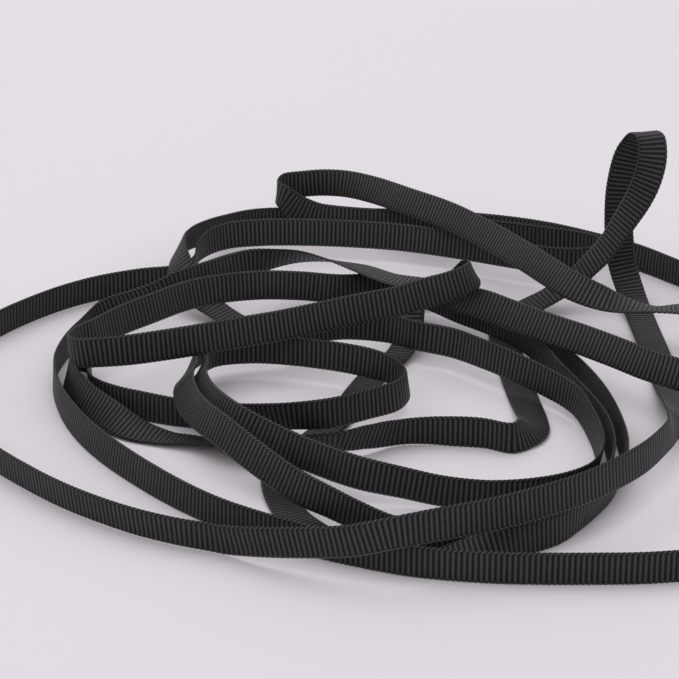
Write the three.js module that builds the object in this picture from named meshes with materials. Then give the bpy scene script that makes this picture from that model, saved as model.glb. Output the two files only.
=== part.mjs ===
// A narrow black grosgrain ribbon lying in a loose tangle of loops.
// Millimetres, +Z up, +Y away from the front. The tangle stands on z = 0 and the origin is
// under the middle of its box.
import * as THREE from 'three';

// Driving dimensions of the ribbon itself.
const ribbonWidth = 6;
const sheetThickness = 1;
const stepLength = 2.1;

// The ribbon's course, strand after strand from one cut end to the other. A row is one place
// on its middle line: x, y and z of the middle, then how the ribbon's width leans there.
// tilt is how far its upper edge leans from upright, toward is the compass direction of that
// lean, 0 to the right and 90 to the back, both in degrees. On a turned strand the other
// selvedge is the upper one.
const columns = { x: 0, y: 1, z: 2, tilt: 3, toward: 4 };

const strands = [
  {
    name: 'front arc', turned: false, rows: [
      [57, -101, 3, 0, 90],
      [49, -102, 3, 0, 90],
      [41, -102.2, 3, 0, 90],
      [33, -102.2, 3, 0, 90],
      [25, -101.8, 3, 0, 90],
      [16.5, -100.6, 3, 0, 90],
      [10, -99, 3, 0, 90],
      [3.5, -96.4, 3, 0, 90],
      [-2.5, -93.6, 3, 0, 90],
      [-8.2, -90.4, 3, 0, 90],
      [-14.3, -86.6, 3, 0, 90],
      [-20.3, -82.3, 3, 2, 60],
      [-26, -77, 3, 5, 60],
      [-31.5, -70.9, 3, 8, 55],
      [-37.2, -63.7, 3, 10, 50],
      [-42.2, -56.6, 3, 12, 45],
      [-46.5, -49.2, 3, 12, 35],
      [-49.8, -42, 3, 10, 25],
      [-52.4, -34.3, 3, 6, 15],
      [-54.1, -26.5, 3, 4, 10],
      [-54.6, -20, 3, 3, 0],
      [-54, -14, 3, 2, 0],
    ],
  },
  {
    name: 'back left rise', turned: false, rows: [
      [-52.9, -8.6, 3, 2, 330],
      [-51, -3.4, 3.3, 2, 330],
      [-48.3, 1.6, 4.3, 2, 300],
      [-45.5, 2.8, 5.2, 2, 100],
      [-41, 2.2, 6.8, 3, 100],
      [-36.4, 2.5, 8.5, 6, 110],
      [-32.6, 5, 9.7, 8, 120],
      [-27.4, 9.2, 9.9, 11, 118],
      [-20, 15.6, 9.9, 12, 106],
      [-13.5, 18.7, 10, 26, 268],
      [-8, 20, 10, 45, 270],
      [-2, 19, 9.6, 67, 270],
    ],
  },
  {
    name: 'right crossing', turned: true, rows: [
      [4.2, 15.4, 9.3, 95, 90],
      [10.3, 10.3, 9, 90, 75],
      [16.4, 7, 8.9, 80, 60],
      [21.8, 1.3, 8.9, 60, 45],
      [28, -5.5, 9.9, 33, 35],
      [32.6, -10, 9.8, 33, 35],
      [39.8, -17.3, 9.8, 33, 35],
      [45.7, -22.8, 9.8, 33, 35],
      [51.9, -29, 9.7, 33, 33],
      [57.1, -34.8, 9.7, 30, 25],
      [61.3, -38.4, 9.7, 30, 25],
      [66, -41.8, 9.5, 26, 30],
    ],
  },
  {
    name: 'right return', turned: true, rows: [
      [73, -45.5, 8.8, 18, 60],
      [81, -46, 7.2, 10, 90],
      [88.5, -42.5, 5.4, 4, 90],
      [93.5, -35.5, 3.8, 0, 90],
      [95.5, -26, 3, 0, 90],
      [94.5, -15, 3, 0, 90],
      [91, -3, 3, 0, 90],
      [86.5, 8, 3, 0, 90],
      [80, 18.5, 3, 0, 90],
      [71.5, 28.2, 3, 2, 60],
      [63.6, 37.6, 3, 6, 60],
      [56.2, 43.8, 3, 6, 70],
    ],
  },
  {
    name: 'back strand', turned: true, rows: [
      [46, 50.8, 3, 9, 85],
      [35.3, 55.4, 3, 9, 88],
      [20, 58.8, 3, 8, 90],
      [2.3, 60.1, 3, 5, 90],
      [-13, 60.6, 3, 4, 90],
      [-19.5, 57.4, 3.7, 5, 100],
      [-25.6, 50.6, 5, 7, 330],
      [-29.6, 42.6, 6.6, 10, 350],
      [-32.3, 33.9, 8.3, 16, 0],
      [-33.5, 25.6, 9.6, 30, 5],
      [-32.8, 19.2, 8.2, 50, 15],
      [-29.8, 14, 5, 72, 30],
    ],
  },
  {
    name: 'low run under the middle', turned: true, rows: [
      [-25.5, 10.5, 2.5, 83, 45],
      [-20.5, 6.2, 1.2, 88, 50],
      [-16, 3.4, 0.7, 88, 65],
      [-10, 2.7, 0.6, 88, 85],
      [-3, 5, 0.6, 88, 105],
      [4, 9, 0.6, 88, 115],
      [9, 12.6, 0.6, 88, 105],
      [12.7, 16.6, 1.2, 78, 85],
      [16.9, 16.5, 3.2, 35, 62],
      [20.5, 13.5, 4.4, 10, 45],
      [26.3, 7.3, 4.5, 3, 45],
      [31.5, 2, 4.5, 3, 40],
      [37, -4.8, 4.4, 3, 30],
    ],
  },
  {
    name: 'outer right arc', turned: true, rows: [
      [41.5, -12.5, 3.3, 3, 25],
      [44.9, -21, 3, 5, 20],
      [47.8, -30.6, 3, 8, 10],
      [49.7, -39.7, 3, 8, 5],
      [50.8, -50, 3, 8, 0],
      [50.8, -58.5, 3, 10, 355],
      [49.6, -66, 3, 12, 345],
      [47.6, -72, 3, 10, 335],
      [44.7, -77.6, 3, 8, 320],
      [41.2, -83, 3, 6, 310],
      [36.8, -88, 3, 5, 80],
      [31.5, -91.5, 3, 8, 80],
      [26, -94, 2.7, 28, 80],
      [20.5, -95, 1.6, 60, 85],
      [14, -95, 0.6, 86, 88],
      [8, -93.8, 0.6, 88, 75],
      [3, -91, 0.6, 88, 60],
      [-1, -88, 0.6, 88, 48],
      [-4.8, -83.6, 0.6, 88, 38],
    ],
  },
  {
    name: 'low run to the back', turned: true, rows: [
      [-7.8, -79, 0.6, 88, 28],
      [-9.6, -73.5, 0.6, 88, 15],
      [-10.6, -68, 0.6, 88, 4],
      [-10.8, -62, 0.6, 88, 352],
      [-9, -56, 0.6, 88, 336],
      [-6, -50, 0.6, 88, 331],
      [-3, -44.5, 0.6, 88, 331],
      [0, -38, 0.6, 88, 335],
      [2.5, -31, 0.6, 88, 340],
      [4.6, -24.5, 0.6, 88, 340],
      [7.3, -17.5, 0.6, 88, 336],
      [10.6, -11.5, 0.7, 86, 330],
      [13, -6.5, 2, 80, 335],
      [13.9, -3.5, 4.6, 70, 345],
    ],
  },
  {
    name: 'rise to the top strand', turned: true, rows: [
      [14.9, -0.6, 8.2, 75, 320],
      [17, 1.5, 11.1, 82, 290],
      [20.2, 1.5, 12.3, 75, 270],
      [23.6, 0.6, 13.8, 52, 250],
      [26, -1.2, 15.3, 33, 215],
    ],
  },
  {
    name: 'top strand', turned: true, rows: [
      [26.4, -3.9, 15.6, 23, 180],
      [25, -6.6, 15.6, 20, 140],
      [21, -9.3, 15, 20, 115],
      [17, -10.8, 14.5, 20, 113],
      [11.2, -13.6, 13.8, 19, 112],
      [3.5, -16, 13.2, 18, 112],
      [-4.2, -19, 12.6, 18, 112],
      [-11.7, -22.9, 12.5, 18, 111],
      [-19.2, -26.2, 12.5, 18, 112],
      [-26.6, -29.8, 12.6, 15, 115],
      [-33.9, -32.8, 12.6, 12, 118],
      [-39.2, -34.4, 12.5, 8, 120],
      [-44.7, -34.3, 12, 5, 130],
    ],
  },
  {
    name: 'left corner strand', turned: true, rows: [
      [-48.6, -33.2, 11.4, 3, 150],
      [-50.5, -30.4, 11, 3, 180],
      [-50.2, -27.2, 10.7, 4, 160],
      [-48.9, -24.3, 10.5, 7, 140],
      [-46.9, -21.8, 10.4, 11, 125],
      [-43.7, -16.4, 10.1, 15, 118],
      [-41.1, -12.6, 10, 17, 116],
      [-36.6, -7.7, 9.95, 18, 115],
      [-31.2, -1.2, 9.65, 19, 114],
      [-27.3, 2, 9.5, 17, 112],
      [-23.3, 4.1, 9.4, 14, 110],
      [-16.2, 7.8, 8.6, 20, 100],
      [-8.2, 11.2, 7.1, 20, 100],
      [0, 13.8, 5.4, 18, 100],
      [6.2, 15, 5.1, 12, 95],
      [12.4, 14.3, 5.1, 5, 90],
      [17.5, 11.2, 4.9, 3, 60],
      [23.7, 4.7, 4.6, 3, 45],
      [29, -0.7, 4.6, 3, 40],
      [34, -6.8, 4.6, 3, 32],
    ],
  },
  {
    name: 'middle right arc', turned: true, rows: [
      [37, -12.2, 4.5, 3, 30],
      [39.7, -18.6, 3.6, 3, 25],
      [42.2, -26, 3, 3, 15],
      [46.1, -39, 3, 8, 5],
      [48.2, -48.5, 3, 9, 0],
      [48.6, -55, 3, 10, 350],
      [48.3, -61, 3, 10, 340],
      [46.9, -67, 3, 10, 325],
      [44.8, -72.3, 3, 8, 315],
      [41.9, -77.3, 3, 6, 310],
      [38.3, -81.7, 3, 5, 300],
      [33.4, -85.4, 3, 4, 300],
      [27.5, -88.2, 3, 3, 300],
      [21, -90, 3, 3, 300],
      [14.5, -90.4, 3, 3, 300],
      [9, -88.8, 3, 6, 335],
      [3.5, -85, 3.6, 10, 340],
      [-1.5, -81.4, 4.5, 15, 350],
      [-7.5, -76.8, 5.5, 20, 28],
      [-15.7, -68.5, 7.8, 22, 45],
      [-20.2, -63, 9, 24, 35],
    ],
  },
  {
    name: 'outer left bend', turned: true, rows: [
      [-24.2, -56.8, 9.2, 28, 25],
      [-26.9, -50.5, 9, 35, 15],
      [-28.3, -44.5, 9, 40, 5],
      [-28.6, -40.8, 8.9, 42, 0],
      [-28.6, -37.2, 8.1, 43, 0],
      [-28.5, -33.6, 7.1, 44, 0],
      [-28.3, -29.5, 6.4, 34, 0],
      [-27.8, -24.5, 6.2, 16, 0],
      [-25.8, -19.4, 6, 6, 320],
      [-21, -16.4, 6, 5, 300],
      [-14, -13.5, 6, 5, 110],
      [-7, -10, 6, 5, 100],
      [0.5, -7, 6, 8, 60],
    ],
  },
  {
    name: 'inner right arc', turned: true, rows: [
      [9.6, -8, 5.8, 12, 60],
      [14.7, -12.1, 6, 8, 50],
      [21.8, -15.3, 5.8, 12, 55],
      [27.3, -21, 6, 8, 40],
      [31, -24.7, 5.9, 8, 40],
      [38.1, -31.3, 5, 7, 20],
      [43.5, -38.8, 4.4, 8, 5],
      [46, -48.2, 3.3, 10, 350],
      [46.6, -55, 3, 12, 340],
      [46.2, -61, 3, 12, 320],
      [43.9, -67.4, 3, 12, 300],
      [40.2, -71.4, 3, 7, 290],
      [34, -74.3, 3, 6, 320],
      [26.2, -75.6, 3, 8, 350],
      [17.9, -74.8, 3.4, 10, 0],
      [11.1, -73.6, 4.4, 12, 10],
      [3.1, -71.5, 5.4, 18, 40],
      [-6.1, -65, 5.9, 19, 30],
      [-13, -60.7, 7.2, 22, 50],
      [-18.2, -57.6, 8.8, 24, 42],
    ],
  },
  {
    name: 'inner left bend', turned: true, rows: [
      [-21.7, -53, 9.1, 28, 30],
      [-24.4, -47.5, 8.9, 36, 15],
      [-25.8, -43.3, 9, 40, 5],
      [-26.3, -40, 8.8, 42, 0],
      [-26.4, -36.8, 8, 43, 0],
      [-26.4, -33.4, 7, 44, 0],
      [-26.2, -29.8, 6.3, 34, 0],
      [-25.6, -25.6, 6.2, 16, 350],
      [-23.2, -21, 6.1, 6, 320],
      [-17.5, -18.8, 6, 7, 136],
      [-11.6, -19.3, 6, 5, 100],
      [-4, -21.3, 6, 5, 90],
      [2.6, -23.6, 5.9, 10, 100],
      [7.1, -26.1, 5.8, 12, 107],
      [11.3, -29.7, 5.5, 10, 180],
    ],
  },
  {
    name: 'middle loop', turned: true, rows: [
      [12.7, -34, 5.4, 8, 200],
      [10.9, -38.4, 5.2, 9, 117],
      [5.4, -42.5, 5.2, 7, 120],
      [-1.7, -46.5, 5.2, 5, 89],
      [-9, -47, 4.8, 8, 274],
      [-16.4, -44.9, 3.6, 8, 276],
      [-24, -42.8, 3, 4, 300],
      [-31, -41, 3, 4, 348],
      [-36.9, -38.4, 3, 3, 57],
      [-40.8, -36.1, 3, 4, 281],
      [-44.8, -32.9, 3, 5, 252],
      [-46.9, -29.8, 3, 5, 240],
      [-47.6, -25.5, 3, 4, 200],
      [-47.8, -21, 3, 3, 180],
    ],
  },
  {
    name: 'left end of the low strand', turned: true, rows: [
      [-48.6, -17.6, 3, 3, 180],
      [-50.2, -16.4, 3.1, 4, 0],
      [-51.5, -18.4, 3.2, 6, 0],
      [-51.8, -22.5, 3.5, 14, 15],
      [-51.4, -26.5, 3.9, 21, 25],
      [-50.4, -30, 4, 26, 35],
      [-48.9, -33.3, 3.8, 29, 42],
      [-47, -36.4, 3.4, 33, 46],
      [-44.9, -39, 3, 38, 50],
      [-42.6, -41.5, 2.6, 45, 55],
      [-40.4, -43.5, 2.1, 57, 60],
      [-37.3, -45.5, 1.4, 72, 72],
      [-33.8, -46.8, 0.9, 85, 76],
      [-30.3, -48, 0.7, 95, 80],
      [-26.8, -49.1, 0.7, 101, 83],
      [-22.2, -51.6, 1.3, 110, 90],
    ],
  },
  {
    name: 'front of the middle', turned: false, rows: [
      [-16, -54.8, 2.9, 56, 270],
      [-10, -56.8, 4.1, 44, 270],
      [-3.8, -57, 4.4, 36, 268],
      [0.5, -56.5, 4.4, 31, 260],
      [5.2, -53.6, 3.8, 24, 256],
      [10.6, -50.2, 3, 16, 250],
      [16.1, -49.4, 3, 8, 240],
      [21.8, -49.8, 3, 4, 120],
      [26.2, -50.5, 3, 5, 130],
      [31.2, -52.6, 3, 10, 140],
    ],
  },
  {
    name: 'flat run to the back', turned: false, rows: [
      [34, -49.6, 2.8, 38, 168],
      [35.8, -44.8, 1.8, 65, 178],
      [35.6, -38, 0.9, 84, 180],
      [34.8, -30, 0.5, 89, 180],
      [34, -20, 0.5, 90, 180],
      [33.3, -10, 0.5, 90, 178],
      [32.8, -2, 0.5, 90, 172],
      [33.2, 4.5, 0.6, 87, 160],
      [35.4, 10, 1.2, 84, 140],
    ],
  },
  {
    name: 'standing loop', turned: false, rows: [
      [39.4, 13.4, 2, 82, 122],
      [43, 15, 3.3, 80, 112],
      [48.4, 16.4, 6.7, 73, 112],
      [51.2, 16.2, 9.8, 69, 114],
      [54.1, 15.8, 13.3, 67, 117],
      [58.1, 15.6, 20.1, 68, 130],
      [60.6, 15.7, 24.8, 72, 148],
      [62.2, 16, 29.2, 78, 163],
      [62.9, 17, 33.2, 84, 176],
      [62.6, 19, 36.2, 89, 186],
      [61.5, 22, 36.1, 92, 190],
      [60, 23.7, 33.3, 88, 189],
      [58.7, 24.2, 30, 85, 186],
      [57.6, 24, 23.6, 87, 182],
      [57.5, 24, 18, 90, 180],
      [57.9, 24.1, 12.1, 90, 180],
    ],
  },
  {
    name: 'right run to the front', turned: false, rows: [
      [58.9, 24.2, 6.2, 88, 180],
      [60.2, 20, 2.4, 88, 180],
      [61.1, 11, 0.9, 88, 180],
      [61.8, 0, 0.6, 88, 180],
      [62.3, -10, 0.6, 88, 180],
      [62.7, -20, 0.6, 88, 180],
      [62.7, -29, 1.2, 82, 180],
      [62.6, -36.5, 2.4, 72, 180],
      [61.9, -43, 3.9, 60, 180],
      [61, -48.5, 5.4, 46, 180],
      [60, -53.5, 6.9, 33, 180],
      [58.9, -59, 8.5, 20, 180],
    ],
  },
  {
    name: 'front strand', turned: false, rows: [
      [57.5, -65, 9.5, 8, 195],
      [52.6, -74, 9.7, 7, 172],
      [46.5, -81.6, 10, 8, 170],
      [41.3, -86.5, 10, 8, 160],
      [36, -90.3, 10, 8, 150],
      [25.6, -96.3, 10, 10, 140],
      [16, -100.2, 10, 8, 140],
      [8.6, -102.3, 9.5, 6, 150],
      [1.4, -101.2, 7.5, 4, 180],
      [-5.1, -98.8, 6, 4, 220],
      [-12.6, -95.6, 4.4, 6, 250],
      [-20.1, -91.8, 3, 8, 256],
      [-27, -89.2, 3, 10, 254],
      [-34, -85.7, 3, 10, 250],
      [-41.2, -80.8, 3, 10, 246],
      [-48.4, -74.8, 3, 8, 242],
      [-55.9, -67, 3, 6, 240],
      [-61.8, -60, 3, 4, 240],
    ],
  },
  {
    name: 'left return', turned: false, rows: [
      [-68, -52, 3, 4, 220],
      [-73.5, -43, 3, 0, 90],
      [-77, -32.5, 3, 0, 90],
      [-78, -21.5, 3, 0, 90],
      [-75.5, -11, 3, 0, 90],
      [-69.6, -1.5, 3, 0, 90],
      [-64.4, 6.1, 3, 4, 300],
      [-57.2, 14.3, 3, 6, 290],
      [-49.9, 20, 3, 6, 285],
      [-41.5, 23.6, 3, 3, 90],
      [-35, 25.2, 3, 3, 90],
    ],
  },
  {
    name: 'second back strand', turned: false, rows: [
      [-32.2, 26.6, 3.2, 3, 90],
      [-30.6, 29.8, 3.9, 4, 0],
      [-30.2, 34.2, 5.2, 8, 0],
      [-28, 39.2, 5.8, 8, 60],
      [-23.5, 43.8, 5.8, 12, 85],
      [-17, 45.4, 5.8, 14, 88],
      [-8.3, 45.6, 5.8, 14, 88],
      [2.5, 44.6, 5.8, 14, 85],
      [13.2, 42.4, 5.8, 14, 80],
      [21.6, 39.2, 5.8, 12, 78],
      [29, 35.8, 5.8, 10, 78],
      [37.1, 31.8, 5.8, 8, 78],
      [44, 29, 5.8, 5, 80],
      [50.3, 28.6, 5.8, 3, 90],
    ],
  },
  {
    name: 'third back strand', turned: false, rows: [
      [54.4, 31.2, 5.8, 0, 90],
      [54.8, 35.2, 5.8, 0, 90],
      [50.8, 38.6, 5.8, 0, 90],
      [43.5, 41.8, 5.7, 0, 90],
      [34, 46, 5.4, 2, 90],
      [24, 50.2, 5.2, 4, 90],
      [13.2, 53.3, 5, 5, 90],
      [0, 56.1, 5, 5, 90],
      [-5.2, 57.3, 5.4, 5, 90],
      [-9.2, 57.7, 7, 5, 90],
      [-12, 58.5, 8.9, 5, 60],
      [-13.7, 60.7, 9.7, 5, 0],
      [-12.3, 63.4, 10, 5, 60],
    ],
  },
  {
    name: 'high back strand', turned: false, rows: [
      [-8.4, 64.8, 10, 8, 90],
      [-4, 65.2, 10.2, 12, 75],
      [1.2, 63.6, 10.5, 22, 52],
      [7.4, 57.6, 11.2, 28, 42],
      [14.2, 48.5, 12, 30, 38],
      [22.8, 38.9, 12.2, 32, 35],
      [30.8, 27.1, 12.1, 34, 30],
      [37.7, 15.1, 12, 36, 30],
      [42.9, 6.2, 11.5, 38, 32],
      [46.3, 1.4, 11, 42, 40],
      [51.2, -1.5, 9.8, 56, 55],
      [56.4, -3, 8.6, 80, 70],
      [62, -4.6, 8.4, 100, 80],
      [67, -5, 8.6, 92, 85],
      [70.5, -5.5, 8.6, 88, 88],
    ],
  },
];

// One point and one width direction for each row of the table.
function readCourse() {
  const middles = [];
  const widths = [];
  for (const strand of strands) {
    for (const row of strand.rows) {
      const tilt = THREE.MathUtils.degToRad(row[columns.tilt]);
      const toward = THREE.MathUtils.degToRad(row[columns.toward]);
      const width = new THREE.Vector3(
        Math.sin(tilt) * Math.cos(toward),
        Math.sin(tilt) * Math.sin(toward),
        Math.cos(tilt),
      );
      if (strand.turned) width.negate();
      widths.push(width);
      middles.push(new THREE.Vector3(row[columns.x], row[columns.y], row[columns.z]));
    }
  }
  return { middles, widths };
}

// The width direction between two rows, as a curve through four of them.
function blendWidths(widths, index, part) {
  const last = widths.length - 1;
  const before = widths[Math.max(index - 1, 0)];
  const here = widths[index];
  const next = widths[Math.min(index + 1, last)];
  const after = widths[Math.min(index + 2, last)];
  const square = part * part;
  const cube = square * part;
  return new THREE.Vector3()
    .addScaledVector(before, -0.5 * cube + square - 0.5 * part)
    .addScaledVector(here, 1.5 * cube - 2.5 * square + 1)
    .addScaledVector(next, -1.5 * cube + 2 * square + 0.5 * part)
    .addScaledVector(after, 0.5 * cube - 0.5 * square);
}

// Sections along the smooth course: middle, width direction and face direction. A section
// never reaches below the surface that the ribbon lies on.
function makeSections() {
  const { middles, widths } = readCourse();
  const course = new THREE.CatmullRomCurve3(middles, false, 'centripetal');
  const spans = middles.length - 1;
  const sections = [];
  for (let index = 0; index < spans; index += 1) {
    const steps = Math.max(1, Math.round(middles[index].distanceTo(middles[index + 1]) / stepLength));
    const count = index === spans - 1 ? steps + 1 : steps;
    for (let step = 0; step < count; step += 1) {
      const part = step / steps;
      const t = (index + part) / spans;
      const middle = course.getPoint(t);
      const along = course.getTangent(t);
      const width = blendWidths(widths, index, part);
      width.addScaledVector(along, -width.dot(along)).normalize();
      const face = new THREE.Vector3().crossVectors(along, width).normalize();
      const reach = Math.abs(width.z) * ribbonWidth / 2 + Math.abs(face.z) * sheetThickness / 2;
      middle.z = Math.max(middle.z, reach);
      sections.push({ middle, width, face });
    }
  }
  return sections;
}

// The four corners of the ribbon's section, in order around it.
function sectionCorners(section) {
  const halfWidth = ribbonWidth / 2;
  const halfSheet = sheetThickness / 2;
  const places = [[halfWidth, halfSheet], [-halfWidth, halfSheet], [-halfWidth, -halfSheet], [halfWidth, -halfSheet]];
  return places.map(([across, out]) => section.middle.clone()
    .addScaledVector(section.width, across)
    .addScaledVector(section.face, out));
}

// A closed sheet: one ring of corners for each section, joined by four faces, with two ends.
function sweepSheet(sections) {
  const corners = 4;
  const positions = [];
  for (const section of sections) {
    for (const corner of sectionCorners(section)) positions.push(corner.x, corner.y, corner.z);
  }
  const triangles = [];
  for (let ring = 0; ring < sections.length - 1; ring += 1) {
    for (let side = 0; side < corners; side += 1) {
      const a = ring * corners + side;
      const b = ring * corners + (side + 1) % corners;
      const c = a + corners;
      const d = b + corners;
      triangles.push(a, b, d, a, d, c);
    }
  }
  const end = (sections.length - 1) * corners;
  triangles.push(0, 2, 1, 0, 3, 2);
  triangles.push(end, end + 1, end + 2, end, end + 2, end + 3);
  const sheet = new THREE.BufferGeometry();
  sheet.setAttribute('position', new THREE.Float32BufferAttribute(positions, 3));
  sheet.setIndex(triangles);
  return sheet;
}

// Moves the tangle over the origin: the middle of its box in plan, its lowest faces at z = 0.
function standOverOrigin(sheet) {
  sheet.computeBoundingBox();
  const box = sheet.boundingBox;
  sheet.translate(-(box.min.x + box.max.x) / 2, -(box.min.y + box.max.y) / 2, -box.min.z);
  sheet.computeVertexNormals();
  return sheet;
}

function blackRibbed() {
  return new THREE.MeshStandardMaterial({ color: 0x17181a, roughness: 0.8, metalness: 0 });
}

function makeRibbon() {
  const ribbon = new THREE.Mesh(standOverOrigin(sweepSheet(makeSections())), blackRibbed());
  ribbon.name = 'ribbon';
  return ribbon;
}

const tangle = new THREE.Group();
tangle.add(makeRibbon());

export default tangle;
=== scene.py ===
import math

import bpy
import numpy as np
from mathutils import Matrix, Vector


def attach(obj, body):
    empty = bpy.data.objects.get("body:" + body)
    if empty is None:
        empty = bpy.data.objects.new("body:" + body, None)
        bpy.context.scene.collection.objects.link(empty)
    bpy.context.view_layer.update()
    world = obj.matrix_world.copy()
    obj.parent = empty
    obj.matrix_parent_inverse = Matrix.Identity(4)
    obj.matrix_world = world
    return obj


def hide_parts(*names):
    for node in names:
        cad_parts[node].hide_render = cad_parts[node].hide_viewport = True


mm = 0.001

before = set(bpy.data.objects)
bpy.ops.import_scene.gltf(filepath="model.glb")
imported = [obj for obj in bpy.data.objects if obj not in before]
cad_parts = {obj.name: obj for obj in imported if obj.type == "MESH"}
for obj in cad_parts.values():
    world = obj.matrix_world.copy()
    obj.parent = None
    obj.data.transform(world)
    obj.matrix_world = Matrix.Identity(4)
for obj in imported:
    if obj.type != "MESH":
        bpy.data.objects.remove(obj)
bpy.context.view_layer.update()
print("frame loaded")

tableMiddle = np.array((8.738, -18.312, 0.0))  # middle of the course in plan, mm: the part's origin

cameraPlan = {
    "target": (0.0, 0.0, 0.0),   # a place on the table, mm, in the course's own frame
    "distance": 504.0,           # mm
    "elevation": 23.0,           # degrees above the table
    "fieldOfView": 15.34,        # degrees, both ways
}


def makeCamera(plan):
    up = math.radians(plan["elevation"])
    target = (Vector(plan["target"]) - Vector(tableMiddle)) * mm
    data = bpy.data.cameras.new("camera")
    data.sensor_fit = "HORIZONTAL"
    data.angle = math.radians(plan["fieldOfView"])
    data.clip_start = 10 * mm
    camera = bpy.data.objects.new("camera", data)
    bpy.context.scene.collection.objects.link(camera)
    camera.location = target + Vector((0, -math.cos(up), math.sin(up))) * plan["distance"] * mm
    camera.rotation_euler = (math.pi / 2 - up, 0, 0)
    bpy.context.scene.camera = camera


makeCamera(cameraPlan)
print("camera placed")

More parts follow.
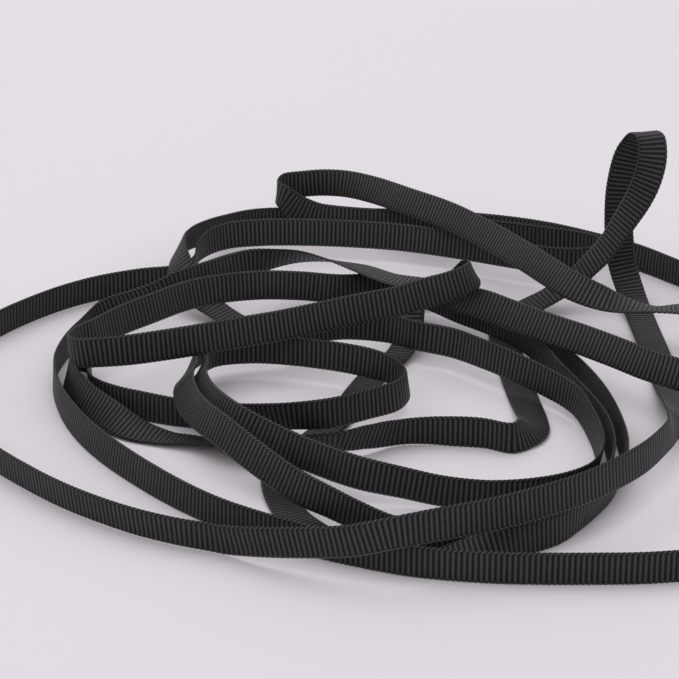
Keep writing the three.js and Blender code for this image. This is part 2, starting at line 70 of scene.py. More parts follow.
# The ribbon's course, strand after strand from one cut end to the other. Each row: x, y and z of
# its middle line in mm, how far its upper edge leans from upright, and the compass direction of
# that lean, 0 to the right and 90 to the back, in degrees. A turned strand has its other
# selvedge uppermost.
courseStrands = [
    {"name": "front arc", "turned": False, "rows": [
        (57, -101, 3, 0, 90), (49, -102, 3, 0, 90), (41, -102.2, 3, 0, 90), (33, -102.2, 3, 0, 90),
        (25, -101.8, 3, 0, 90), (16.5, -100.6, 3, 0, 90), (10, -99, 3, 0, 90), (3.5, -96.4, 3, 0, 90),
        (-2.5, -93.6, 3, 0, 90), (-8.2, -90.4, 3, 0, 90), (-14.3, -86.6, 3, 0, 90),
        (-20.3, -82.3, 3, 2, 60), (-26, -77, 3, 5, 60), (-31.5, -70.9, 3, 8, 55), (-37.2, -63.7, 3, 10, 50),
        (-42.2, -56.6, 3, 12, 45), (-46.5, -49.2, 3, 12, 35), (-49.8, -42, 3, 10, 25),
        (-52.4, -34.3, 3, 6, 15), (-54.1, -26.5, 3, 4, 10), (-54.6, -20, 3, 3, 0), (-54, -14, 3, 2, 0),
    ]},
    {"name": "back left rise", "turned": False, "rows": [
        (-52.9, -8.6, 3, 2, 330), (-51, -3.4, 3.3, 2, 330), (-48.3, 1.6, 4.3, 2, 300),
        (-45.5, 2.8, 5.2, 2, 100), (-41, 2.2, 6.8, 3, 100), (-36.4, 2.5, 8.5, 6, 110),
        (-32.6, 5, 9.7, 8, 120), (-27.4, 9.2, 9.9, 11, 118), (-20, 15.6, 9.9, 12, 106),
        (-13.5, 18.7, 10, 26, 268), (-8, 20, 10, 45, 270), (-2, 19, 9.6, 67, 270),
    ]},
    {"name": "right crossing", "turned": True, "rows": [
        (4.2, 15.4, 9.3, 95, 90), (10.3, 10.3, 9, 90, 75), (16.4, 7, 8.9, 80, 60), (21.8, 1.3, 8.9, 60, 45),
        (28, -5.5, 9.9, 33, 35), (32.6, -10, 9.8, 33, 35), (39.8, -17.3, 9.8, 33, 35),
        (45.7, -22.8, 9.8, 33, 35), (51.9, -29, 9.7, 33, 33), (57.1, -34.8, 9.7, 30, 25),
        (61.3, -38.4, 9.7, 30, 25), (66, -41.8, 9.5, 26, 30),
    ]},
    {"name": "right return", "turned": True, "rows": [
        (73, -45.5, 8.8, 18, 60), (81, -46, 7.2, 10, 90), (88.5, -42.5, 5.4, 4, 90),
        (93.5, -35.5, 3.8, 0, 90), (95.5, -26, 3, 0, 90), (94.5, -15, 3, 0, 90), (91, -3, 3, 0, 90),
        (86.5, 8, 3, 0, 90), (80, 18.5, 3, 0, 90), (71.5, 28.2, 3, 2, 60), (63.6, 37.6, 3, 6, 60),
        (56.2, 43.8, 3, 6, 70),
    ]},
    {"name": "back strand", "turned": True, "rows": [
        (46, 50.8, 3, 9, 85), (35.3, 55.4, 3, 9, 88), (20, 58.8, 3, 8, 90), (2.3, 60.1, 3, 5, 90),
        (-13, 60.6, 3, 4, 90), (-19.5, 57.4, 3.7, 5, 100), (-25.6, 50.6, 5, 7, 330),
        (-29.6, 42.6, 6.6, 10, 350), (-32.3, 33.9, 8.3, 16, 0), (-33.5, 25.6, 9.6, 30, 5),
        (-32.8, 19.2, 8.2, 50, 15), (-29.8, 14, 5, 72, 30),
    ]},
    {"name": "low run under the middle", "turned": True, "rows": [
        (-25.5, 10.5, 2.5, 83, 45), (-20.5, 6.2, 1.2, 88, 50), (-16, 3.4, 0.7, 88, 65),
        (-10, 2.7, 0.6, 88, 85), (-3, 5, 0.6, 88, 105), (4, 9, 0.6, 88, 115), (9, 12.6, 0.6, 88, 105),
        (12.7, 16.6, 1.2, 78, 85), (16.9, 16.5, 3.2, 35, 62), (20.5, 13.5, 4.4, 10, 45),
        (26.3, 7.3, 4.5, 3, 45), (31.5, 2, 4.5, 3, 40), (37, -4.8, 4.4, 3, 30),
    ]},
    {"name": "outer right arc", "turned": True, "rows": [
        (41.5, -12.5, 3.3, 3, 25), (44.9, -21, 3, 5, 20), (47.8, -30.6, 3, 8, 10), (49.7, -39.7, 3, 8, 5),
        (50.8, -50, 3, 8, 0), (50.8, -58.5, 3, 10, 355), (49.6, -66, 3, 12, 345), (47.6, -72, 3, 10, 335),
        (44.7, -77.6, 3, 8, 320), (41.2, -83, 3, 6, 310), (36.8, -88, 3, 5, 80), (31.5, -91.5, 3, 8, 80),
        (26, -94, 2.7, 28, 80), (20.5, -95, 1.6, 60, 85), (14, -95, 0.6, 86, 88), (8, -93.8, 0.6, 88, 75),
        (3, -91, 0.6, 88, 60), (-1, -88, 0.6, 88, 48), (-4.8, -83.6, 0.6, 88, 38),
    ]},
    {"name": "low run to the back", "turned": True, "rows": [
        (-7.8, -79, 0.6, 88, 28), (-9.6, -73.5, 0.6, 88, 15), (-10.6, -68, 0.6, 88, 4),
        (-10.8, -62, 0.6, 88, 352), (-9, -56, 0.6, 88, 336), (-6, -50, 0.6, 88, 331),
        (-3, -44.5, 0.6, 88, 331), (0, -38, 0.6, 88, 335), (2.5, -31, 0.6, 88, 340),
        (4.6, -24.5, 0.6, 88, 340), (7.3, -17.5, 0.6, 88, 336), (10.6, -11.5, 0.7, 86, 330),
        (13, -6.5, 2, 80, 335), (13.9, -3.5, 4.6, 70, 345),
    ]},
    {"name": "rise to the top strand", "turned": True, "rows": [
        (14.9, -0.6, 8.2, 75, 320), (17, 1.5, 11.1, 82, 290), (20.2, 1.5, 12.3, 75, 270),
        (23.6, 0.6, 13.8, 52, 250), (26, -1.2, 15.3, 33, 215),
    ]},
    {"name": "top strand", "turned": True, "rows": [
        (26.4, -3.9, 15.6, 23, 180), (25, -6.6, 15.6, 20, 140), (21, -9.3, 15, 20, 115),
        (17, -10.8, 14.5, 20, 113), (11.2, -13.6, 13.8, 19, 112), (3.5, -16, 13.2, 18, 112),
        (-4.2, -19, 12.6, 18, 112), (-11.7, -22.9, 12.5, 18, 111), (-19.2, -26.2, 12.5, 18, 112),
        (-26.6, -29.8, 12.6, 15, 115), (-33.9, -32.8, 12.6, 12, 118), (-39.2, -34.4, 12.5, 8, 120),
        (-44.7, -34.3, 12, 5, 130),
    ]},
    {"name": "left corner strand", "turned": True, "rows": [
        (-48.6, -33.2, 11.4, 3, 150), (-50.5, -30.4, 11, 3, 180), (-50.2, -27.2, 10.7, 4, 160),
        (-48.9, -24.3, 10.5, 7, 140), (-46.9, -21.8, 10.4, 11, 125), (-43.7, -16.4, 10.1, 15, 118),
        (-41.1, -12.6, 10, 17, 116), (-36.6, -7.7, 9.95, 18, 115), (-31.2, -1.2, 9.65, 19, 114),
        (-27.3, 2, 9.5, 17, 112), (-23.3, 4.1, 9.4, 14, 110), (-16.2, 7.8, 8.6, 20, 100),
        (-8.2, 11.2, 7.1, 20, 100), (0, 13.8, 5.4, 18, 100), (6.2, 15, 5.1, 12, 95),
        (12.4, 14.3, 5.1, 5, 90), (17.5, 11.2, 4.9, 3, 60), (23.7, 4.7, 4.6, 3, 45), (29, -0.7, 4.6, 3, 40),
        (34, -6.8, 4.6, 3, 32),
    ]},
    {"name": "middle right arc", "turned": True, "rows": [
        (37, -12.2, 4.5, 3, 30), (39.7, -18.6, 3.6, 3, 25), (42.2, -26, 3, 3, 15), (46.1, -39, 3, 8, 5),
        (48.2, -48.5, 3, 9, 0), (48.6, -55, 3, 10, 350), (48.3, -61, 3, 10, 340), (46.9, -67, 3, 10, 325),
        (44.8, -72.3, 3, 8, 315), (41.9, -77.3, 3, 6, 310), (38.3, -81.7, 3, 5, 300),
        (33.4, -85.4, 3, 4, 300), (27.5, -88.2, 3, 3, 300), (21, -90, 3, 3, 300), (14.5, -90.4, 3, 3, 300),
        (9, -88.8, 3, 6, 335), (3.5, -85, 3.6, 10, 340), (-1.5, -81.4, 4.5, 15, 350),
        (-7.5, -76.8, 5.5, 20, 28), (-15.7, -68.5, 7.8, 22, 45), (-20.2, -63, 9, 24, 35),
    ]},
    {"name": "outer left bend", "turned": True, "rows": [
        (-24.2, -56.8, 9.2, 28, 25), (-26.9, -50.5, 9, 35, 15), (-28.3, -44.5, 9, 40, 5),
        (-28.6, -40.8, 8.9, 42, 0), (-28.6, -37.2, 8.1, 43, 0), (-28.5, -33.6, 7.1, 44, 0),
        (-28.3, -29.5, 6.4, 34, 0), (-27.8, -24.5, 6.2, 16, 0), (-25.8, -19.4, 6, 6, 320),
        (-21, -16.4, 6, 5, 300), (-14, -13.5, 6, 5, 110), (-7, -10, 6, 5, 100), (0.5, -7, 6, 8, 60),
    ]},
    {"name": "inner right arc", "turned": True, "rows": [
        (9.6, -8, 5.8, 12, 60), (14.7, -12.1, 6, 8, 50), (21.8, -15.3, 5.8, 12, 55), (27.3, -21, 6, 8, 40),
        (31, -24.7, 5.9, 8, 40), (38.1, -31.3, 5, 7, 20), (43.5, -38.8, 4.4, 8, 5),
        (46, -48.2, 3.3, 10, 350), (46.6, -55, 3, 12, 340), (46.2, -61, 3, 12, 320),
        (43.9, -67.4, 3, 12, 300), (40.2, -71.4, 3, 7, 290), (34, -74.3, 3, 6, 320),
        (26.2, -75.6, 3, 8, 350), (17.9, -74.8, 3.4, 10, 0), (11.1, -73.6, 4.4, 12, 10),
        (3.1, -71.5, 5.4, 18, 40), (-6.1, -65, 5.9, 19, 30), (-13, -60.7, 7.2, 22, 50),
        (-18.2, -57.6, 8.8, 24, 42),
    ]},
    {"name": "inner left bend", "turned": True, "rows": [
        (-21.7, -53, 9.1, 28, 30), (-24.4, -47.5, 8.9, 36, 15), (-25.8, -43.3, 9, 40, 5),
        (-26.3, -40, 8.8, 42, 0), (-26.4, -36.8, 8, 43, 0), (-26.4, -33.4, 7, 44, 0),
        (-26.2, -29.8, 6.3, 34, 0), (-25.6, -25.6, 6.2, 16, 350), (-23.2, -21, 6.1, 6, 320),
        (-17.5, -18.8, 6, 7, 136), (-11.6, -19.3, 6, 5, 100), (-4, -21.3, 6, 5, 90),
        (2.6, -23.6, 5.9, 10, 100), (7.1, -26.1, 5.8, 12, 107), (11.3, -29.7, 5.5, 10, 180),
    ]},
    {"name": "middle loop", "turned": True, "rows": [
        (12.7, -34, 5.4, 8, 200), (10.9, -38.4, 5.2, 9, 117), (5.4, -42.5, 5.2, 7, 120),
        (-1.7, -46.5, 5.2, 5, 89), (-9, -47, 4.8, 8, 274), (-16.4, -44.9, 3.6, 8, 276),
        (-24, -42.8, 3, 4, 300), (-31, -41, 3, 4, 348), (-36.9, -38.4, 3, 3, 57), (-40.8, -36.1, 3, 4, 281),
        (-44.8, -32.9, 3, 5, 252), (-46.9, -29.8, 3, 5, 240), (-47.6, -25.5, 3, 4, 200),
        (-47.8, -21, 3, 3, 180),
    ]},
    {"name": "left end of the low strand", "turned": True, "rows": [
        (-48.6, -17.6, 3, 3, 180), (-50.2, -16.4, 3.1, 4, 0), (-51.5, -18.4, 3.2, 6, 0),
        (-51.8, -22.5, 3.5, 14, 15), (-51.4, -26.5, 3.9, 21, 25), (-50.4, -30, 4, 26, 35),
        (-48.9, -33.3, 3.8, 29, 42), (-47, -36.4, 3.4, 33, 46), (-44.9, -39, 3, 38, 50),
        (-42.6, -41.5, 2.6, 45, 55), (-40.4, -43.5, 2.1, 57, 60), (-37.3, -45.5, 1.4, 72, 72),
        (-33.8, -46.8, 0.9, 85, 76), (-30.3, -48, 0.7, 95, 80), (-26.8, -49.1, 0.7, 101, 83),
        (-22.2, -51.6, 1.3, 110, 90),
    ]},
    {"name": "front of the middle", "turned": False, "rows": [
        (-16, -54.8, 2.9, 56, 270), (-10, -56.8, 4.1, 44, 270), (-3.8, -57, 4.4, 36, 268),
        (0.5, -56.5, 4.4, 31, 260), (5.2, -53.6, 3.8, 24, 256), (10.6, -50.2, 3, 16, 250),
        (16.1, -49.4, 3, 8, 240), (21.8, -49.8, 3, 4, 120), (26.2, -50.5, 3, 5, 130),
        (31.2, -52.6, 3, 10, 140),
    ]},
    {"name": "flat run to the back", "turned": False, "rows": [
        (34, -49.6, 2.8, 38, 168), (35.8, -44.8, 1.8, 65, 178), (35.6, -38, 0.9, 84, 180),
        (34.8, -30, 0.5, 89, 180), (34, -20, 0.5, 90, 180), (33.3, -10, 0.5, 90, 178),
        (32.8, -2, 0.5, 90, 172), (33.2, 4.5, 0.6, 87, 160), (35.4, 10, 1.2, 84, 140),
    ]},
    {"name": "standing loop", "turned": False, "rows": [
        (39.4, 13.4, 2, 82, 122), (43, 15, 3.3, 80, 112), (48.4, 16.4, 6.7, 73, 112),
        (51.2, 16.2, 9.8, 69, 114), (54.1, 15.8, 13.3, 67, 117), (58.1, 15.6, 20.1, 68, 130),
        (60.6, 15.7, 24.8, 72, 148), (62.2, 16, 29.2, 78, 163), (62.9, 17, 33.2, 84, 176),
        (62.6, 19, 36.2, 89, 186), (61.5, 22, 36.1, 92, 190), (60, 23.7, 33.3, 88, 189),
        (58.7, 24.2, 30, 85, 186), (57.6, 24, 23.6, 87, 182), (57.5, 24, 18, 90, 180),
        (57.9, 24.1, 12.1, 90, 180),
    ]},
    {"name": "right run to the front", "turned": False, "rows": [
        (58.9, 24.2, 6.2, 88, 180), (60.2, 20, 2.4, 88, 180), (61.1, 11, 0.9, 88, 180),
        (61.8, 0, 0.6, 88, 180), (62.3, -10, 0.6, 88, 180), (62.7, -20, 0.6, 88, 180),
        (62.7, -29, 1.2, 82, 180), (62.6, -36.5, 2.4, 72, 180), (61.9, -43, 3.9, 60, 180),
        (61, -48.5, 5.4, 46, 180), (60, -53.5, 6.9, 33, 180), (58.9, -59, 8.5, 20, 180),
    ]},
    {"name": "front strand", "turned": False, "rows": [
        (57.5, -65, 9.5, 8, 195), (52.6, -74, 9.7, 7, 172), (46.5, -81.6, 10, 8, 170),
        (41.3, -86.5, 10, 8, 160), (36, -90.3, 10, 8, 150), (25.6, -96.3, 10, 10, 140),
        (16, -100.2, 10, 8, 140), (8.6, -102.3, 9.5, 6, 150), (1.4, -101.2, 7.5, 4, 180),
        (-5.1, -98.8, 6, 4, 220), (-12.6, -95.6, 4.4, 6, 250), (-20.1, -91.8, 3, 8, 256),
        (-27, -89.2, 3, 10, 254), (-34, -85.7, 3, 10, 250), (-41.2, -80.8, 3, 10, 246),
        (-48.4, -74.8, 3, 8, 242), (-55.9, -67, 3, 6, 240), (-61.8, -60, 3, 4, 240),
    ]},
    {"name": "left return", "turned": False, "rows": [
        (-68, -52, 3, 4, 220), (-73.5, -43, 3, 0, 90), (-77, -32.5, 3, 0, 90), (-78, -21.5, 3, 0, 90),
        (-75.5, -11, 3, 0, 90), (-69.6, -1.5, 3, 0, 90), (-64.4, 6.1, 3, 4, 300), (-57.2, 14.3, 3, 6, 290),
        (-49.9, 20, 3, 6, 285), (-41.5, 23.6, 3, 3, 90), (-35, 25.2, 3, 3, 90),
    ]},
    {"name": "second back strand", "turned": False, "rows": [
        (-32.2, 26.6, 3.2, 3, 90), (-30.6, 29.8, 3.9, 4, 0), (-30.2, 34.2, 5.2, 8, 0),
        (-28, 39.2, 5.8, 8, 60), (-23.5, 43.8, 5.8, 12, 85), (-17, 45.4, 5.8, 14, 88),
        (-8.3, 45.6, 5.8, 14, 88), (2.5, 44.6, 5.8, 14, 85), (13.2, 42.4, 5.8, 14, 80),
        (21.6, 39.2, 5.8, 12, 78), (29, 35.8, 5.8, 10, 78), (37.1, 31.8, 5.8, 8, 78), (44, 29, 5.8, 5, 80),
        (50.3, 28.6, 5.8, 3, 90),
    ]},
    {"name": "third back strand", "turned": False, "rows": [
        (54.4, 31.2, 5.8, 0, 90), (54.8, 35.2, 5.8, 0, 90), (50.8, 38.6, 5.8, 0, 90),
        (43.5, 41.8, 5.7, 0, 90), (34, 46, 5.4, 2, 90), (24, 50.2, 5.2, 4, 90), (13.2, 53.3, 5, 5, 90),
        (0, 56.1, 5, 5, 90), (-5.2, 57.3, 5.4, 5, 90), (-9.2, 57.7, 7, 5, 90), (-12, 58.5, 8.9, 5, 60),
        (-13.7, 60.7, 9.7, 5, 0), (-12.3, 63.4, 10, 5, 60),
    ]},
    {"name": "high back strand", "turned": False, "rows": [
        (-8.4, 64.8, 10, 8, 90), (-4, 65.2, 10.2, 12, 75), (1.2, 63.6, 10.5, 22, 52),
        (7.4, 57.6, 11.2, 28, 42), (14.2, 48.5, 12, 30, 38), (22.8, 38.9, 12.2, 32, 35),
        (30.8, 27.1, 12.1, 34, 30), (37.7, 15.1, 12, 36, 30), (42.9, 6.2, 11.5, 38, 32),
        (46.3, 1.4, 11, 42, 40), (51.2, -1.5, 9.8, 56, 55), (56.4, -3, 8.6, 80, 70),
        (62, -4.6, 8.4, 100, 80), (67, -5, 8.6, 92, 85), (70.5, -5.5, 8.6, 88, 88),
    ]},
]

ribbonPlan = {
    "width": 6.0,          # mm
    "ribPitch": 0.92,      # mm from rib to rib
    "crestHalf": 0.25,     # half the sheet's thickness on a rib, mm
    "grooveHalf": 0.14,    # and between two ribs
    "loopReach": 0.07,     # how far the selvedge's loops stand out at a rib's end, mm
    "fullness": 1.42,      # over 1 flattens the section's two faces
    "squareness": 0.46,    # moves the section's corners out towards the selvedges
    "ribVariation": 0.12,  # how much the ribs differ in height, as a share
    "seed": 4,             # of the ribs' differences
    "cadHalf": 0.5,        # half the solid's thickness, mm, which the course is seated by
    "sampleStep": 0.3,     # mm between samples of the course
    "ringsPerRib": 4,
    "ringPoints": 8,       # points round the ribbon's section
    "pathStep": 4,
}
smallestGap = 1e-4  # keeps two rows at one place from dividing by nothing


def readCourse(strands):
    middles, widths = [], []
    for strand in strands:
        for x, y, z, tilt, toward in strand["rows"]:
            lean, way = math.radians(tilt), math.radians(toward)
            width = np.array((math.sin(lean) * math.cos(way), math.sin(lean) * math.sin(way), math.cos(lean)))
            widths.append(-width if strand["turned"] else width)
            middles.append(np.array((x, y, z)) - tableMiddle)
    return np.array(middles), np.array(widths)


def smoothPoint(before, here, after, beyond, part):
    # a centripetal curve through four points, with its direction
    pairs = ((before, here), (here, after), (after, beyond))
    first, middle, last = [max(np.linalg.norm(b - a) ** 0.5, smallestGap) for a, b in pairs]
    leave = (here - before) / first - (after - before) / (first + middle) + (after - here) / middle
    reach = (after - here) / middle - (beyond - here) / (middle + last) + (beyond - after) / last
    leave, reach = leave * middle, reach * middle
    square = -3 * here + 3 * after - 2 * leave - reach
    cube = 2 * here - 2 * after + leave + reach
    place = here + leave * part + square * part ** 2 + cube * part ** 3
    return place, leave + 2 * square * part + 3 * cube * part ** 2


def sampleCourse(plan):
    middles, widths = readCourse(courseStrands)
    last = len(middles) - 1
    padded = np.vstack((2 * middles[0] - middles[1], middles, 2 * middles[-1] - middles[-2]))
    places, acrosses, faces = [], [], []
    for index in range(last):
        steps = max(1, round(float(np.linalg.norm(middles[index + 1] - middles[index])) / plan["sampleStep"]))
        for step in range(steps + (index == last - 1)):
            part = step / steps
            place, along = smoothPoint(*padded[index:index + 4], part)
            along /= np.linalg.norm(along)
            four = [widths[min(max(index + shift, 0), last)] for shift in (-1, 0, 1, 2)]
            shares = (
                -0.5 * part ** 3 + part ** 2 - 0.5 * part,
                1.5 * part ** 3 - 2.5 * part ** 2 + 1,
                -1.5 * part ** 3 + 2 * part ** 2 + 0.5 * part,
                0.5 * part ** 3 - 0.5 * part ** 2,
            )
            across = sum(share * width for share, width in zip(shares, four))
            across -= along * across.dot(along)
            across /= np.linalg.norm(across)
            face = np.cross(along, across)
            reach = abs(across[2]) * plan["width"] / 2 + abs(face[2]) * plan["cadHalf"]
            place[2] = max(place[2], reach)
            places.append(place)
            acrosses.append(across)
            faces.append(face)
    return np.array(places), np.array(acrosses), np.array(faces)


def put(tree, kind, feeds=None, **settings):
    node = tree.nodes.new(kind)
    for name, value in settings.items():
        setattr(node, name, value)
    for socket, value in (feeds or {}).items():
        if isinstance(value, bpy.types.NodeSocket):
            tree.links.new(value, node.inputs[socket])
        else:
            node.inputs[socket].default_value = value
    return node


def arith(tree, kind, *terms):
    return put(tree, "ShaderNodeMath", dict(enumerate(terms)), operation=kind).outputs[0]


def vectorSum(tree, kind, *terms):
    feeds = {}
    for index, term in enumerate(terms):
        feeds[3 if kind == "SCALE" and index == 1 else index] = term
    return put(tree, "ShaderNodeVectorMath", feeds, operation=kind).outputs[0]


def keepOnPoints(tree, geometry, kind, name, value, domain="POINT"):
    feeds = {"Geometry": geometry, "Name": name, "Value": value}
    return put(tree, "GeometryNodeStoreNamedAttribute", feeds, data_type=kind, domain=domain).outputs[0]


def readKept(tree, kind, name):
    return put(tree, "GeometryNodeInputNamedAttribute", {"Name": name}, data_type=kind).outputs[0]


def buildRibTree(sizes, ringPoints):
    # a ring of points for each quarter of a rib, swept along the course
    tree = bpy.data.node_groups.new("grosgrain ribs", "GeometryNodeTree")
    face = tree.interface
    face.new_socket("Geometry", in_out="INPUT", socket_type="NodeSocketGeometry")
    face.new_socket("Geometry", in_out="OUTPUT", socket_type="NodeSocketGeometry")
    for name in sizes:
        face.new_socket(name, in_out="INPUT", socket_type="NodeSocketFloat")
    face.new_socket("Finish", in_out="INPUT", socket_type="NodeSocketMaterial")
    given = put(tree, "NodeGroupInput").outputs
    line = put(tree, "GeometryNodeMeshToCurve", {"Mesh": given["Geometry"]}).outputs[0]
    feeds = {"Curve": line, "Length": given["Ring gap"]}
    line = put(tree, "GeometryNodeResampleCurve", feeds, mode="LENGTH").outputs[0]
    place = put(tree, "GeometryNodeInputPosition").outputs[0]
    index = put(tree, "GeometryNodeInputIndex").outputs[0]
    line = keepOnPoints(tree, line, "FLOAT_VECTOR", "middle", place)
    line = keepOnPoints(tree, line, "FLOAT", "ring", index)
    feeds = {"Resolution": ringPoints, "Radius": 1.0}
    ring = put(tree, "GeometryNodeCurvePrimitiveCircle", feeds, mode="RADIUS").outputs[0]
    ring = keepOnPoints(tree, ring, "FLOAT_VECTOR", "spread", place)
    feeds = {"Curve": line, "Profile Curve": ring, "Fill Caps": True}
    sheet = put(tree, "GeometryNodeCurveToMesh", feeds).outputs[0]

    ringNumber = readKept(tree, "FLOAT", "ring")
    ribNumber = arith(tree, "DIVIDE", ringNumber, given["Rings per rib"])
    crest = arith(tree, "COSINE", arith(tree, "MULTIPLY", ribNumber, 2 * math.pi))
    crest = arith(tree, "MULTIPLY_ADD", crest, 0.5, 0.5)
    wholeRib = arith(tree, "ROUND", ribNumber)
    feeds = {"ID": wholeRib, "Seed": ribbonPlan["seed"]}
    chance = put(tree, "FunctionNodeRandomValue", feeds, data_type="FLOAT").outputs[1]
    uneven = arith(tree, "MULTIPLY_ADD", arith(tree, "SUBTRACT", chance, 0.5), given["Variation"], 1.0)
    rise = arith(tree, "SUBTRACT", given["Crest"], given["Groove"])
    rise = arith(tree, "MULTIPLY", rise, uneven)
    half = arith(tree, "ADD", given["Groove"], arith(tree, "MULTIPLY", rise, crest))

    spread = put(tree, "ShaderNodeSeparateXYZ", {0: readKept(tree, "FLOAT_VECTOR", "spread")}).outputs
    square = arith(tree, "MULTIPLY", spread["X"], spread["X"])  # squares the ring off to a flat section
    squareness = ribbonPlan["squareness"]
    flat = arith(tree, "MULTIPLY_ADD", square, -squareness, 1 + squareness)
    flat = arith(tree, "MULTIPLY", spread["X"], flat)
    out = arith(tree, "MULTIPLY", spread["Y"], ribbonPlan["fullness"])
    out = put(tree, "ShaderNodeClamp", {0: out, 1: -1.0, 2: 1.0}).outputs[0]
    reach = arith(tree, "MULTIPLY_ADD", given["Loop reach"], crest, given["Half width"])
    across, facing, middle = [readKept(tree, "FLOAT_VECTOR", name) for name in ("across", "face", "middle")]
    sideways = vectorSum(tree, "SCALE", across, arith(tree, "MULTIPLY", flat, reach))
    outwards = vectorSum(tree, "SCALE", facing, arith(tree, "MULTIPLY", out, half))
    place = vectorSum(tree, "ADD", middle, vectorSum(tree, "ADD", sideways, outwards))
    sheet = put(tree, "GeometryNodeSetPosition", {"Geometry": sheet, "Position": place}).outputs[0]

    share = arith(tree, "MULTIPLY_ADD", flat, 0.5, 0.5)
    uv = put(tree, "ShaderNodeCombineXYZ", {0: ribNumber, 1: share}).outputs[0]
    sheet = keepOnPoints(tree, sheet, "FLOAT2", "UVMap", uv, domain="CORNER")
    sheet = put(tree, "GeometryNodeSetShadeSmooth", {"Geometry": sheet, "Shade Smooth": True}).outputs[0]
    sheet = put(tree, "GeometryNodeRealizeInstances", {"Geometry": sheet}).outputs[0]
    sheet = put(tree, "GeometryNodeSetMaterial", {"Geometry": sheet, "Material": given["Finish"]}).outputs[0]
    put(tree, "NodeGroupOutput", {"Geometry": sheet})
    return tree


grosgrainFinish = {
    "warpYarns": 46.0,         # yarns that run along the ribbon, side by side across it
    "selvedgeFrom": 0.82,      # share of the half width where the selvedge starts
    "selvedgeBlend": 0.015,    # share of the half width over which it takes over
    "loopSlant": 5.0,          # how many ribs a selvedge loop leans over the half width
    "seamWidth": 0.04,         # the dark line where ribs and selvedge meet, share of the half width
    "seamShade": 0.25,         # how much light that line keeps
    # the ribbon's black, with painted shade between the ribs and a painted highlight on their crests
    "grooveShadeBlack": (0.0015, 0.0015, 0.0018, 1),
    "crestHighlightBlack": (0.042, 0.042, 0.043, 1),
    "crestHighlightPower": 1.4,         # how quickly the painted highlight on a crest fades into the painted shade between crests
    # how dark the painted shade in the hollows between yarns and selvedge loops is
    "yarnShadeContrast": 0.35,
    "cloudContrast": 0.6,
    "cloudScale": 90.0,        # per metre
    "grainContrast": 0.8,
    "grainScale": 1.6,         # per rib
    "grainStretch": 14.0,
    "bumpStrength": 0.5,
    "bumpDepth": 0.05,         # mm
    "roughness": (0.42, 0.6),
    "gloss": 0.5,
    "sheen": 0.08,
    "sheenRoughness": 0.45,
    "sheenTint": (0.75, 0.76, 0.8, 1),
    "crestShine": 0.62,        # how much more a crest shines than a groove
}


def wave(tree, kind, value):
    # a sine or cosine that runs between 0 and 1
    return arith(tree, "MULTIPLY_ADD", arith(tree, kind, value), 0.5, 0.5)


def shade(tree, light, pattern, contrast, middle):
    # light times a pattern whose highest value, or whose middle one, leaves it as it is
    share = arith(tree, "MULTIPLY_ADD", pattern, contrast, 1 - contrast * middle)
    return arith(tree, "MULTIPLY", light, share)


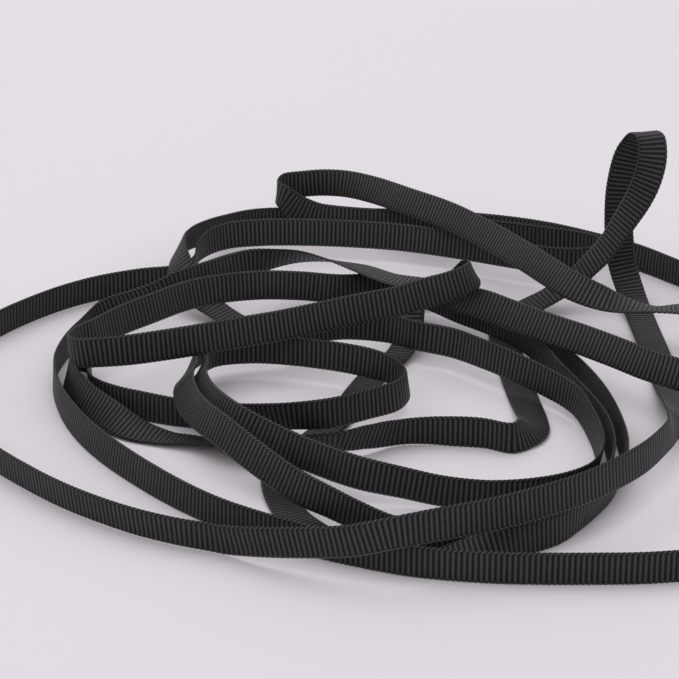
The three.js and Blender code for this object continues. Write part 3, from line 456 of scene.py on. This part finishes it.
def makeGrosgrain(finish):
    material = bpy.data.materials.new("black grosgrain")
    material.use_nodes = True
    tree = material.node_tree
    shader = tree.nodes["Principled BSDF"]
    uv = put(tree, "ShaderNodeUVMap", uv_map="UVMap").outputs[0]
    ribs, share = put(tree, "ShaderNodeSeparateXYZ", {0: uv}).outputs[:2]

    # yarn lines along the ribbon, each rib's set half a yarn beside the last
    everyOther = arith(tree, "MULTIPLY", arith(tree, "PINGPONG", arith(tree, "ROUND", ribs), 1.0), math.pi)
    yarn = arith(tree, "MULTIPLY_ADD", share, finish["warpYarns"] * 2 * math.pi, everyOther)
    yarn = wave(tree, "SINE", yarn)
    crest = wave(tree, "COSINE", arith(tree, "MULTIPLY", ribs, 2 * math.pi))

    # the selvedge: short slanting loops that wrap each rib's end, one to a rib
    fromMiddle = arith(tree, "ABSOLUTE", arith(tree, "MULTIPLY_ADD", share, 2.0, -1.0))
    start, blend = finish["selvedgeFrom"], finish["selvedgeBlend"]
    edge = put(tree, "ShaderNodeMapRange", {0: fromMiddle, 1: start - blend, 2: start + blend}).outputs[0]
    slant = arith(tree, "MULTIPLY_ADD", fromMiddle, finish["loopSlant"], ribs)
    loop = wave(tree, "SINE", arith(tree, "MULTIPLY", slant, 2 * math.pi))

    grainPlace = vectorSum(tree, "MULTIPLY", uv, (1.0, finish["grainStretch"], 1.0))
    feeds = {"Vector": grainPlace, "Scale": finish["grainScale"], "Detail": 4.0}
    grain = put(tree, "ShaderNodeTexNoise", feeds).outputs[0]
    cloudPlace = put(tree, "ShaderNodeTexCoord").outputs["Object"]
    feeds = {"Vector": cloudPlace, "Scale": finish["cloudScale"], "Detail": 2.0}
    cloud = put(tree, "ShaderNodeTexNoise", feeds).outputs[0]

    relief = put(tree, "ShaderNodeMix", {0: edge, 2: yarn, 3: loop}).outputs[0]
    height = arith(tree, "MULTIPLY_ADD", grain, 0.6, relief)
    feeds = {"Height": height, "Strength": finish["bumpStrength"], "Distance": finish["bumpDepth"] * mm}
    bump = put(tree, "ShaderNodeBump", feeds).outputs[0]

    # painted highlight on the crests of the ribs and loops and painted shade between them, in the colour; the
    # same mask makes the crests shine more
    litCrests = arith(tree, "POWER", crest, finish["crestHighlightPower"])
    litLoops = arith(tree, "POWER", loop, finish["crestHighlightPower"])
    litCrests = put(tree, "ShaderNodeMix", {0: edge, 2: litCrests, 3: litLoops}).outputs[0]
    besideSeam = arith(tree, "ABSOLUTE", arith(tree, "SUBTRACT", fromMiddle, start))
    feeds = {0: besideSeam, 1: 0.0, 2: finish["seamWidth"], 3: finish["seamShade"]}
    litCrests = arith(tree, "MULTIPLY", litCrests, put(tree, "ShaderNodeMapRange", feeds).outputs[0])
    # painted shade in the hollows between the yarns and between the selvedge's loops
    light = shade(tree, litCrests, relief, finish["yarnShadeContrast"], 1.0)
    light = shade(tree, light, cloud, finish["cloudContrast"], 0.5)
    light = shade(tree, light, grain, finish["grainContrast"], 0.5)
    # the colour runs from the painted groove shade to the painted crest highlight
    feeds = {0: light, 6: finish["grooveShadeBlack"], 7: finish["crestHighlightBlack"]}
    colour = put(tree, "ShaderNodeMix", feeds, data_type="RGBA").outputs[2]
    low, high = finish["roughness"]
    rough = put(tree, "ShaderNodeMapRange", {0: grain, 1: 0.3, 2: 0.7, 3: low, 4: high}).outputs[0]
    shine = arith(tree, "MULTIPLY_ADD", litCrests, finish["crestShine"], 1 - finish["crestShine"])
    tree.links.new(colour, shader.inputs["Base Color"])
    tree.links.new(rough, shader.inputs["Roughness"])
    tree.links.new(bump, shader.inputs["Normal"])
    tree.links.new(arith(tree, "MULTIPLY", shine, finish["gloss"]), shader.inputs["Specular IOR Level"])
    tree.links.new(arith(tree, "MULTIPLY", shine, finish["sheen"]), shader.inputs["Sheen Weight"])
    shader.inputs["Sheen Roughness"].default_value = finish["sheenRoughness"]
    shader.inputs["Sheen Tint"].default_value = finish["sheenTint"]
    return material


def makeRibbon(plan, material):
    places, acrosses, faces = sampleCourse(plan)
    line = bpy.data.meshes.new("course")
    line.from_pydata([tuple(p) for p in places * mm], [(i, i + 1) for i in range(len(places) - 1)], [])
    for name, values in (("across", acrosses), ("face", faces)):
        line.attributes.new(name, "FLOAT_VECTOR", "POINT").data.foreach_set("vector", values.ravel())
    worker = bpy.data.objects.new("course", line)
    bpy.context.scene.collection.objects.link(worker)
    sizes = {
        "Ring gap": plan["ribPitch"] * mm / plan["ringsPerRib"],
        "Rings per rib": plan["ringsPerRib"],
        "Half width": (plan["width"] / 2 - plan["loopReach"]) * mm,
        "Loop reach": plan["loopReach"] * mm,
        "Crest": plan["crestHalf"] * mm,
        "Groove": plan["grooveHalf"] * mm,
        "Variation": plan["ribVariation"],
    }
    tree = buildRibTree(sizes, plan["ringPoints"])
    modifier = worker.modifiers.new("ribs", "NODES")
    modifier.node_group = tree
    ids = {item.name: item.identifier for item in tree.interface.items_tree if item.in_out == "INPUT"}
    for name, value in sizes.items():
        modifier[ids[name]] = float(value)
    modifier[ids["Finish"]] = material
    seen = worker.evaluated_get(bpy.context.evaluated_depsgraph_get())
    mesh = bpy.data.meshes.new_from_object(seen, depsgraph=bpy.context.evaluated_depsgraph_get())
    worker.modifiers.remove(modifier)
    bpy.data.objects.remove(worker)
    ribbon = bpy.data.objects.new("ribbed_ribbon", mesh)
    bpy.context.scene.collection.objects.link(ribbon)
    return ribbon, places * mm


ribbon, ribbonLine = makeRibbon(ribbonPlan, makeGrosgrain(grosgrainFinish))
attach(ribbon, "root")
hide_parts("ribbon")

studioPlan = {
    "floorReach": 4000,    # mm each way from the middle
    "floorColour": (0.75, 0.715, 0.755, 1),
    "skyColour": (1.0, 0.99, 1.0, 1),
    "skyStrength": 0.8,
    "softBox": {"place": (-250, 280, 1200), "size": 1400, "power": 5.0},   # mm, mm, W
}


def makeFloor(plan):
    side = plan["floorReach"] * mm
    mesh = bpy.data.meshes.new("floor")
    corners = [(-side, -side, 0), (side, -side, 0), (side, side, 0), (-side, side, 0)]
    mesh.from_pydata(corners, [], [(0, 1, 2, 3)])
    floor = bpy.data.objects.new("floor", mesh)
    bpy.context.scene.collection.objects.link(floor)
    material = bpy.data.materials.new("pale table")
    material.use_nodes = True
    shader = material.node_tree.nodes["Principled BSDF"]
    shader.inputs["Base Color"].default_value = plan["floorColour"]
    shader.inputs["Roughness"].default_value = 0.9
    shader.inputs["Specular IOR Level"].default_value = 0.2
    mesh.materials.append(material)


def makeLight(plan):
    scene = bpy.context.scene
    world = bpy.data.worlds.new("soft sky")
    world.use_nodes = True
    world.node_tree.nodes["Background"].inputs[0].default_value = plan["skyColour"]
    world.node_tree.nodes["Background"].inputs[1].default_value = plan["skyStrength"]
    scene.world = world
    box = plan["softBox"]
    data = bpy.data.lights.new("soft box", "AREA")
    data.size = box["size"] * mm
    data.energy = box["power"]
    light = bpy.data.objects.new("soft box", data)
    scene.collection.objects.link(light)
    light.location = Vector(box["place"]) * mm
    light.rotation_euler = (-light.location).to_track_quat("-Z", "Y").to_euler()
    scene.view_settings.view_transform = "Standard"


makeFloor(studioPlan)
makeLight(studioPlan)
print("floor and light made")
